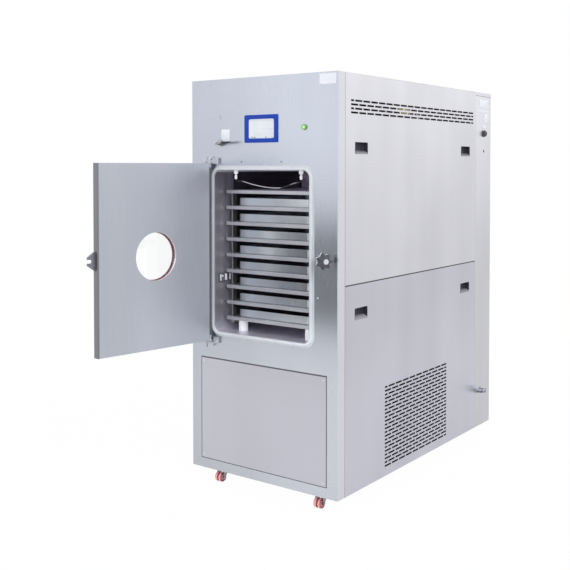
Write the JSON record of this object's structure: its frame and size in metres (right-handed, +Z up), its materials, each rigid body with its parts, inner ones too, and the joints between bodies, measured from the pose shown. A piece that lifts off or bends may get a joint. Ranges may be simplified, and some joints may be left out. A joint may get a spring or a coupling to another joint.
{
  "type": "freeze dryer",
  "caption": "Pilot freeze dryer on casters: steel cabinet with a shelf chamber behind a side-hung door, touch panel, vents and service fittings.",
  "frame": {"origin": "middle of the overall box at the floor, with the door standing open as stored", "axes": "+Z up; +X to the machine's right as one faces its front; +Y from the front panel to the rear"},
  "size_m": [0.8318, 2.0476, 1.766],
  "materials": {
    "brushed_sheet": "brushed stainless sheet",
    "polished_sheet": "polished stainless sheet",
    "machined_steel": "machined and satin stainless",
    "frame_steel": "grey paint on mild steel bar",
    "white_silicone": "smooth moulded silicone",
    "red_silicone": "smooth moulded silicone",
    "window_glass": "clear toughened glass",
    "white_nylon": "turned nylon",
    "grey_lead": "extruded sheath",
    "black_plastic": "moulded black plastic",
    "blue_plastic": "moulded blue bezel round a screen",
    "green_plastic": "clear green lens",
    "red_tyre": "moulded polyurethane tread",
    "dark_paint": "black paint"
  },
  "bodies": {
    "cabinet": {"frame": "frame_steel", "floor_pan": "brushed_sheet", "front_panel": "brushed_sheet", "access_cover": "brushed_sheet", "right_upper_panel": "brushed_sheet", "right_lower_panel": "brushed_sheet", "left_panel": "brushed_sheet", "rear_cover": "brushed_sheet", "top_panel": "brushed_sheet", "chamber": "polished_sheet", "chamber_gasket": "white_silicone", "shelf_1": "machined_steel", "shelf_2": "machined_steel", "tray_2": "polished_sheet", "shelf_3": "machined_steel", "tray_3": "polished_sheet", "shelf_4": "machined_steel", "tray_4": "polished_sheet", "shelf_5": "machined_steel", "tray_5": "polished_sheet", "shelf_6": "machined_steel", "tray_6": "polished_sheet", "shelf_7": "machined_steel", "tray_7": "polished_sheet", "shelf_8": "machined_steel", "tray_8": "polished_sheet", "shelf_9": "machined_steel", "tray_9": "polished_sheet", "shelf_rack": "machined_steel", "foot_left": "white_nylon", "foot_right": "white_nylon", "gland_left": "white_nylon", "gland_right": "white_nylon", "roof_lead": "grey_lead", "hinge_bracket_upper": "machined_steel", "hinge_bracket_lower": "machined_steel", "clamp_fork": "machined_steel", "touch_panel": "blue_plastic", "air_valve_body": "machined_steel", "drain_valve_body": "machined_steel", "mains_gland": "black_plastic", "cold_trap": "machined_steel", "plant_unit": "dark_paint"},
    "door": {"door_leaf": "brushed_sheet", "window_seal": "red_silicone", "window_glass": "window_glass", "window_ring": "machined_steel"},
    "swing_bolt": {"swing_bolt": "machined_steel"},
    "knob": {"star_knob": "black_plastic"},
    "air_lever": {"air_valve_lever": "black_plastic"},
    "drain_lever": {"drain_valve_lever": "machined_steel"},
    "button": {"push_button": "green_plastic"},
    "caster_front_left": {"fork_front_left": "machined_steel"},
    "caster_wheel_front_left": {"wheel_front_left": "red_tyre"},
    "caster_front_right": {"fork_front_right": "machined_steel"},
    "caster_wheel_front_right": {"wheel_front_right": "red_tyre"},
    "caster_rear_left": {"fork_rear_left": "machined_steel"},
    "caster_wheel_rear_left": {"wheel_rear_left": "red_tyre"},
    "caster_rear_right": {"fork_rear_right": "machined_steel"},
    "caster_wheel_rear_right": {"wheel_rear_right": "red_tyre"}
  },
  "joints": [
    {"name": "door_hinge", "type": "hinge", "parent": "cabinet", "child": "door", "pos_m": [-0.30411, -0.44571, 1.021], "axis": [0, 0, 1], "range_deg": [-30, 100]},
    {"name": "clamp_swing", "type": "hinge", "parent": "cabinet", "child": "swing_bolt", "pos_m": [0.26989, -0.43521, 1.02], "axis": [0, 0, 1], "range_deg": [-62, 4]},
    {"name": "knob_turn", "type": "hinge", "parent": "swing_bolt", "child": "knob", "pos_m": [0.26989, -0.43521, 1.02], "axis": [0.8829, -0.4695, 0], "continuous": true},
    {"name": "air_valve_turn", "type": "hinge", "parent": "cabinet", "child": "air_lever", "pos_m": [-0.24011, -0.44821, 1.493], "axis": [0, 1, 0], "range_deg": [-90, 0]},
    {"name": "drain_valve_turn", "type": "hinge", "parent": "cabinet", "child": "drain_lever", "pos_m": [0.38189, 0.86279, 0.271], "axis": [0, 0, 1], "range_deg": [0, 90]},
    {"name": "button_press", "type": "slide", "parent": "cabinet", "child": "button", "axis": [0, 1, 0], "range_m": [0, 0.0025], "stiffness_N_per_m": 600, "springref_m": -0.001},
    {"name": "swivel_front_left", "type": "hinge", "parent": "cabinet", "child": "caster_front_left", "pos_m": [-0.28911, -0.34621, 0.056], "axis": [0, 0, 1], "continuous": true},
    {"name": "roll_front_left", "type": "hinge", "parent": "caster_front_left", "child": "caster_wheel_front_left", "pos_m": [-0.28911, -0.37021, 0.021], "axis": [1, 0, 0], "continuous": true},
    {"name": "swivel_front_right", "type": "hinge", "parent": "cabinet", "child": "caster_front_right", "pos_m": [0.23889, -0.34621, 0.056], "axis": [0, 0, 1], "continuous": true},
    {"name": "roll_front_right", "type": "hinge", "parent": "caster_front_right", "child": "caster_wheel_front_right", "pos_m": [0.23889, -0.37021, 0.021], "axis": [1, 0, 0], "continuous": true},
    {"name": "swivel_rear_left", "type": "hinge", "parent": "cabinet", "child": "caster_rear_left", "pos_m": [-0.28911, 0.95079, 0.056], "axis": [0, 0, 1], "continuous": true},
    {"name": "roll_rear_left", "type": "hinge", "parent": "caster_rear_left", "child": "caster_wheel_rear_left", "pos_m": [-0.28911, 0.92679, 0.021], "axis": [1, 0, 0], "continuous": true},
    {"name": "swivel_rear_right", "type": "hinge", "parent": "cabinet", "child": "caster_rear_right", "pos_m": [0.23889, 0.95079, 0.056], "axis": [0, 0, 1], "continuous": true},
    {"name": "roll_rear_right", "type": "hinge", "parent": "caster_rear_right", "child": "caster_wheel_rear_right", "pos_m": [0.23889, 0.92679, 0.021], "axis": [1, 0, 0], "continuous": true}
  ]
}
